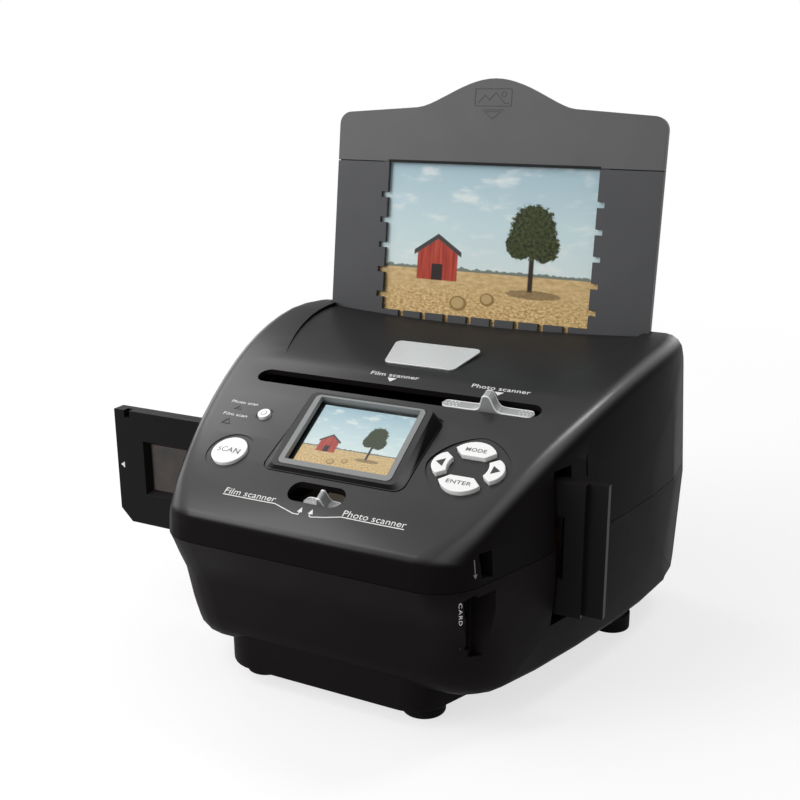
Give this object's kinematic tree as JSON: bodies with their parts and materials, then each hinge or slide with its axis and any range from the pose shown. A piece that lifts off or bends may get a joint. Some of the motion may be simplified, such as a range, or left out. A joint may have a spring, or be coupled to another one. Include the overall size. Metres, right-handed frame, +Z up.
{
  "type": "film negative scanner",
  "caption": "Desktop scanner with a sloping control panel, a colour display, a tray for paper prints that slides down into the top and a film strip holder that slides through the sides.",
  "frame": {"origin": "on the floor, under the middle of the whole part's box with the tray up and the film holder at rest, which is 17.1 mm to the left of the casing's symmetry plane", "axes": "+Z up, +Y to the rear, +X to the right of a user who faces the control panel"},
  "size_m": [0.2698, 0.218, 0.2739],
  "materials": {
    "panel_black": "fine satin",
    "casing_black": "fine satin",
    "foot_rubber": "matte",
    "screw_steel": "machined",
    "bezel_grey": "satin",
    "clear_window": "polished",
    "display_unit": "gloss",
    "plate_silver": "satin",
    "key_white": "semi-gloss",
    "board_green": "solder mask",
    "switch_metal": "stamped",
    "socket_steel": "stamped",
    "inner_black": "matte",
    "lens_glass": "polished",
    "lever_silver": "satin silver",
    "rail_steel": "ground",
    "light_white": "matte",
    "holder_black": "satin",
    "film": "gloss",
    "tray_grey": "satin",
    "print_paper": "glossy print"
  },
  "bodies": {
    "casing": {"upper_casing": "panel_black", "lower_casing": "casing_black", "base_plate": "casing_black", "rubber_feet": "foot_rubber", "casing_screws": "screw_steel", "display_bezel": "bezel_grey", "display_window": "clear_window", "display_module": "display_unit", "name_plate": "plate_silver", "key_boards": "board_green", "dome_switches": "switch_metal", "main_board": "board_green", "card_socket": "socket_steel", "usb_socket": "socket_steel", "sensor_board": "board_green", "camera_housing": "inner_black", "lever_rail": "rail_steel", "film_gate": "inner_black", "photo_guides": "inner_black", "photo_lights": "light_white"},
    "photo_tray": {"tray_back": "tray_grey", "tray_frame": "tray_grey", "photo_print": "print_paper"},
    "film_holder": {"holder_base": "holder_black", "holder_cover": "holder_black", "film_strip": "film"},
    "mode_slider": {"mode_lever": "lever_silver", "backlight_carriage": "inner_black", "backlight_board": "light_white", "backlight_diffuser": "light_white"},
    "focus_slider": {"focus_lever": "lever_silver"},
    "lens_slider": {"lens_carriage": "inner_black", "lens": "lens_glass"},
    "scan_key_body": {"scan_key": "key_white"},
    "small_key_body": {"small_key": "key_white"},
    "mode_key_body": {"mode_key": "key_white"},
    "enter_key_body": {"enter_key": "key_white"},
    "left_key_body": {"left_key": "key_white"},
    "right_key_body": {"right_key": "key_white"}
  },
  "joints": [
    {"name": "photo_tray_slide", "type": "slide", "parent": "casing", "child": "photo_tray", "axis": [0, 0.1323, 0.9912], "range_m": [-0.109, 0]},
    {"name": "film_holder_slide", "type": "slide", "parent": "casing", "child": "film_holder", "axis": [1, 0, 0], "range_m": [-0.076, 0.114]},
    {"name": "mode_lever_slide", "type": "slide", "parent": "casing", "child": "mode_slider", "axis": [1, 0, 0], "range_m": [-0.053, 0]},
    {"name": "focus_lever_slide", "type": "slide", "parent": "casing", "child": "focus_slider", "axis": [1, 0, 0], "range_m": [-0.0052, 0]},
    {"name": "lens_focus_slide", "type": "slide", "parent": "casing", "child": "lens_slider", "axis": [0, 1, 0], "range_m": [0, 0.003]},
    {"name": "scan_key_press", "type": "slide", "parent": "casing", "child": "scan_key_body", "axis": [0, 0.4055, -0.9141], "range_m": [0, 0.0008], "stiffness_N_per_m": 900},
    {"name": "small_key_press", "type": "slide", "parent": "casing", "child": "small_key_body", "axis": [0, 0.4055, -0.9141], "range_m": [0, 0.0008], "stiffness_N_per_m": 900},
    {"name": "mode_key_press", "type": "slide", "parent": "casing", "child": "mode_key_body", "axis": [0, 0.4055, -0.9141], "range_m": [0, 0.0008], "stiffness_N_per_m": 900},
    {"name": "enter_key_press", "type": "slide", "parent": "casing", "child": "enter_key_body", "axis": [0, 0.4055, -0.9141], "range_m": [0, 0.0008], "stiffness_N_per_m": 900},
    {"name": "left_key_press", "type": "slide", "parent": "casing", "child": "left_key_body", "axis": [0, 0.4055, -0.9141], "range_m": [0, 0.0008], "stiffness_N_per_m": 900},
    {"name": "right_key_press", "type": "slide", "parent": "casing", "child": "right_key_body", "axis": [0, 0.4055, -0.9141], "range_m": [0, 0.0008], "stiffness_N_per_m": 900}
  ],
  "couplings": [
    {"joint": "lens_focus_slide", "follows": "focus_lever_slide", "ratio": -0.57735}
  ]
}
